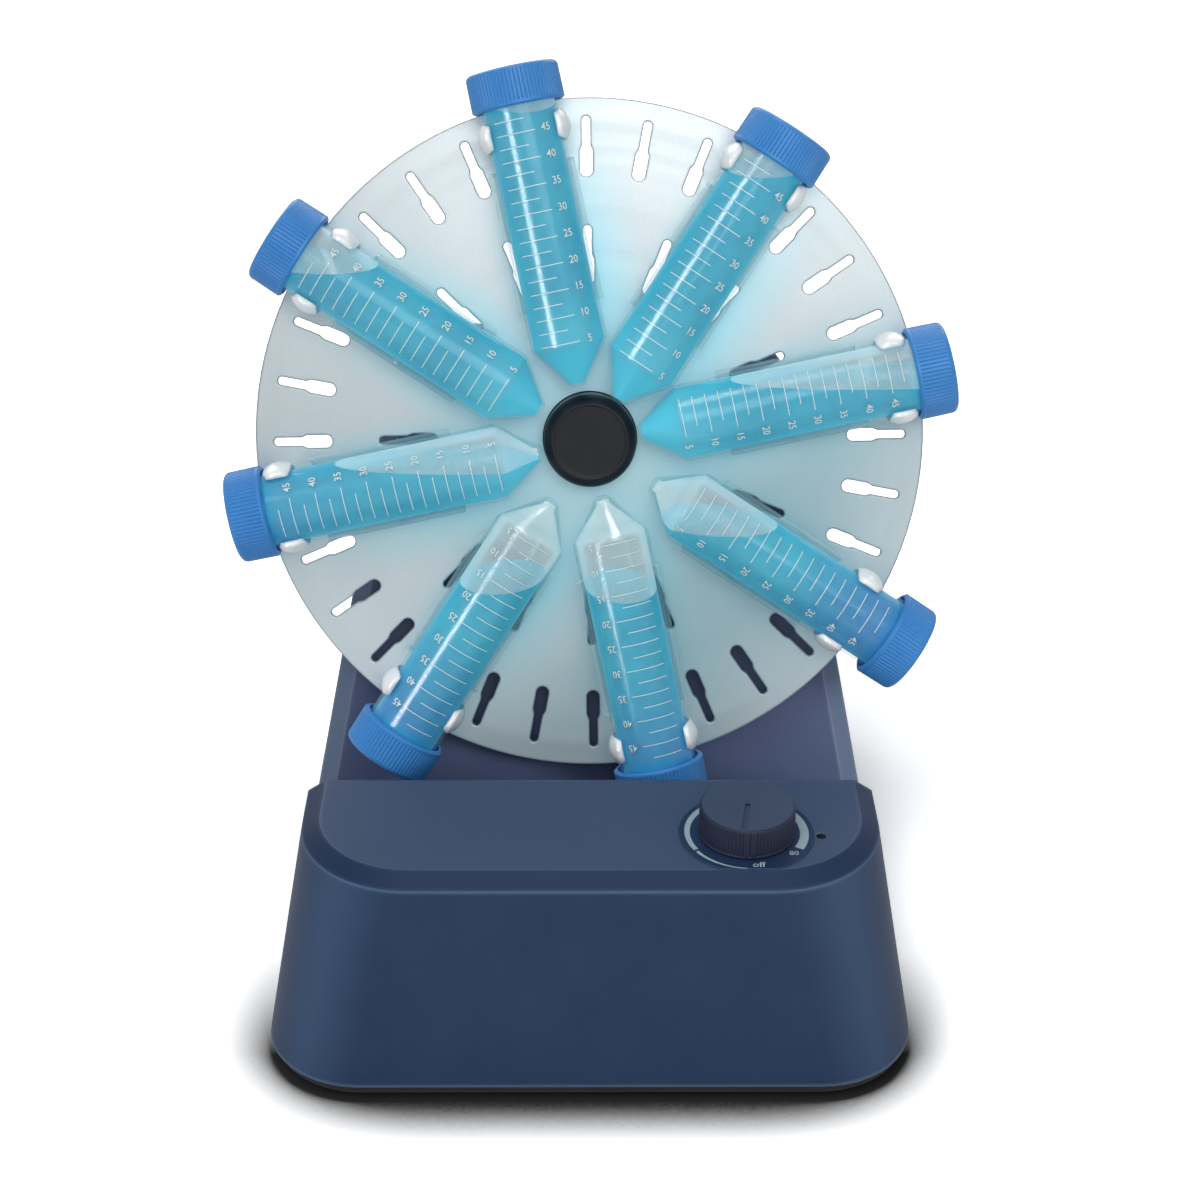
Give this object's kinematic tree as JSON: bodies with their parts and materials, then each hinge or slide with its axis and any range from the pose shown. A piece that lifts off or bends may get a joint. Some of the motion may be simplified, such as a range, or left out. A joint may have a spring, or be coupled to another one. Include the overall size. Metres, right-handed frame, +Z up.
{
  "type": "tube rotator",
  "caption": "Bench tube rotator: a tilted slotted disc with snap-in clips turns conical centrifuge tubes above a drafted housing with a speed knob.",
  "frame": {"origin": "centre of the bounding box on the table", "axes": "+Z up, -Y towards the user, +X to the user's right; the disc's face looks towards -Y and up"},
  "size_m": [0.2722, 0.24, 0.3228],
  "materials": {
    "housing": "satin",
    "upright": "satin",
    "tray": "satin",
    "feet": "matte",
    "steel": "satin",
    "dial": "satin",
    "knob": "satin",
    "pot": "satin",
    "light": "gloss",
    "board": "satin",
    "inlet": "satin",
    "motor": "satin",
    "aluminium": "brushed",
    "black": "satin",
    "clip": "satin",
    "tube": "gloss",
    "liquid": "gloss",
    "cap": "satin"
  },
  "bodies": {
    "base": {"base_housing": "housing", "base_tray": "tray", "rubber_feet": "feet", "tray_screws": "steel", "upright_shell": "upright", "upright_screws": "steel", "rear_cover": "upright", "cover_screws": "steel", "dial_plate": "dial", "pot_body": "pot", "pot_nut": "steel", "status_light": "light", "control_board": "board", "board_screws": "steel", "power_inlet": "inlet", "motor_bracket": "steel", "bracket_screws": "steel", "gearbox_screws": "steel", "gearbox": "motor", "motor": "motor", "shaft_bearing": "steel"},
    "rotor": {"drive_shaft": "steel", "hub_flange": "aluminium", "rotor_disc": "aluminium", "clip_1": "clip", "clip_2": "clip", "clip_3": "clip", "clip_4": "clip", "clip_5": "clip", "clip_6": "clip", "clip_7": "clip", "clip_8": "clip"},
    "washer": {"clamp_washer": "black"},
    "clamp": {"clamp_knob": "black"},
    "speed_dial": {"speed_knob": "knob", "pot_shaft": "steel"},
    "tube_1": {"tube_1": "tube", "liquid_1": "liquid"},
    "cap_1": {"cap_1": "cap"},
    "tube_2": {"tube_2": "tube", "liquid_2": "liquid"},
    "cap_2": {"cap_2": "cap"},
    "tube_3": {"tube_3": "tube", "liquid_3": "liquid"},
    "cap_3": {"cap_3": "cap"},
    "tube_4": {"tube_4": "tube", "liquid_4": "liquid"},
    "cap_4": {"cap_4": "cap"},
    "tube_5": {"tube_5": "tube", "liquid_5": "liquid"},
    "cap_5": {"cap_5": "cap"},
    "tube_6": {"tube_6": "tube", "liquid_6": "liquid"},
    "cap_6": {"cap_6": "cap"},
    "tube_7": {"tube_7": "tube", "liquid_7": "liquid"},
    "cap_7": {"cap_7": "cap"},
    "tube_8": {"tube_8": "tube", "liquid_8": "liquid"},
    "cap_8": {"cap_8": "cap"}
  },
  "joints": [
    {"name": "rotor_spin", "type": "hinge", "parent": "base", "child": "rotor", "pos_m": [0, 0.046, 0.182], "axis": [0, -0.9397, 0.342], "continuous": true},
    {"name": "speed_turn", "type": "hinge", "parent": "base", "child": "speed_dial", "pos_m": [0.055, -0.07848, 0.0968], "axis": [0, 0, 1], "range_deg": [-305, 0]},
    {"name": "washer_lift", "type": "slide", "parent": "rotor", "child": "washer", "axis": [0, -0.9397, 0.342], "range_m": [0, 0.0031]},
    {"name": "clamp_turn", "type": "hinge", "parent": "washer", "child": "clamp", "pos_m": [0, 0.046, 0.182], "axis": [0, -0.9397, 0.342], "range_deg": [0, 1080]},
    {"name": "tube_slide_1", "type": "slide", "parent": "rotor", "child": "tube_1", "axis": [-0.2088, 0.3345, 0.919], "range_m": [-0.0032, 0.0065]},
    {"name": "cap_turn_1", "type": "hinge", "parent": "tube_1", "child": "cap_1", "pos_m": [-0.02745, 0.07119, 0.30969], "axis": [-0.2088, 0.3345, 0.919], "range_deg": [0, 450]},
    {"name": "tube_slide_2", "type": "slide", "parent": "rotor", "child": "tube_2", "axis": [0.5439, 0.287, 0.7885], "range_m": [0, 0.0097]},
    {"name": "cap_turn_2", "type": "hinge", "parent": "tube_2", "child": "cap_2", "pos_m": [0.06978, 0.06403, 0.29001], "axis": [0.5439, 0.287, 0.7885], "range_deg": [0, 450]},
    {"name": "tube_slide_3", "type": "slide", "parent": "rotor", "child": "tube_3", "axis": [0.978, 0.0714, 0.1962], "range_m": [0, 0.0097]},
    {"name": "cap_turn_3", "type": "hinge", "parent": "tube_3", "child": "cap_3", "pos_m": [0.12547, 0.03637, 0.21401], "axis": [0.978, 0.0714, 0.1962], "range_deg": [0, 450]},
    {"name": "tube_slide_4", "type": "slide", "parent": "rotor", "child": "tube_4", "axis": [0.8391, -0.186, -0.5111], "range_m": [-0.0092, 0.0005]},
    {"name": "cap_turn_4", "type": "hinge", "parent": "tube_4", "child": "cap_4", "pos_m": [0.11538, 0.00163, 0.11856], "axis": [0.8391, -0.186, -0.5111], "range_deg": [0, 450]},
    {"name": "tube_slide_5", "type": "slide", "parent": "rotor", "child": "tube_5", "axis": [0.2088, -0.3345, -0.919], "range_m": [-0.0022, 0.0075]},
    {"name": "cap_turn_5", "type": "hinge", "parent": "tube_5", "child": "cap_5", "pos_m": [0.02724, -0.01644, 0.06891], "axis": [0.2088, -0.3345, -0.919], "range_deg": [0, 450]},
    {"name": "tube_slide_6", "type": "slide", "parent": "rotor", "child": "tube_6", "axis": [-0.5439, -0.287, -0.7885], "range_m": [-0.0073, 0.0024]},
    {"name": "cap_turn_6", "type": "hinge", "parent": "tube_6", "child": "cap_6", "pos_m": [-0.07375, -0.01171, 0.08192], "axis": [-0.5439, -0.287, -0.7885], "range_deg": [0, 450]},
    {"name": "tube_slide_7", "type": "slide", "parent": "rotor", "child": "tube_7", "axis": [-0.978, -0.0714, -0.1962], "range_m": [0, 0.0097]},
    {"name": "cap_turn_7", "type": "hinge", "parent": "tube_7", "child": "cap_7", "pos_m": [-0.12547, 0.01804, 0.16367], "axis": [-0.978, -0.0714, -0.1962], "range_deg": [0, 450]},
    {"name": "tube_slide_8", "type": "slide", "parent": "rotor", "child": "tube_8", "axis": [-0.8391, 0.186, 0.5111], "range_m": [-0.0032, 0.0065]},
    {"name": "cap_turn_8", "type": "hinge", "parent": "tube_8", "child": "cap_8", "pos_m": [-0.11035, 0.05167, 0.25605], "axis": [-0.8391, 0.186, 0.5111], "range_deg": [0, 450]}
  ],
  "couplings": [
    {"joint": "washer_lift", "follows": "clamp_turn", "m_per_rad": 0.00015915}
  ]
}
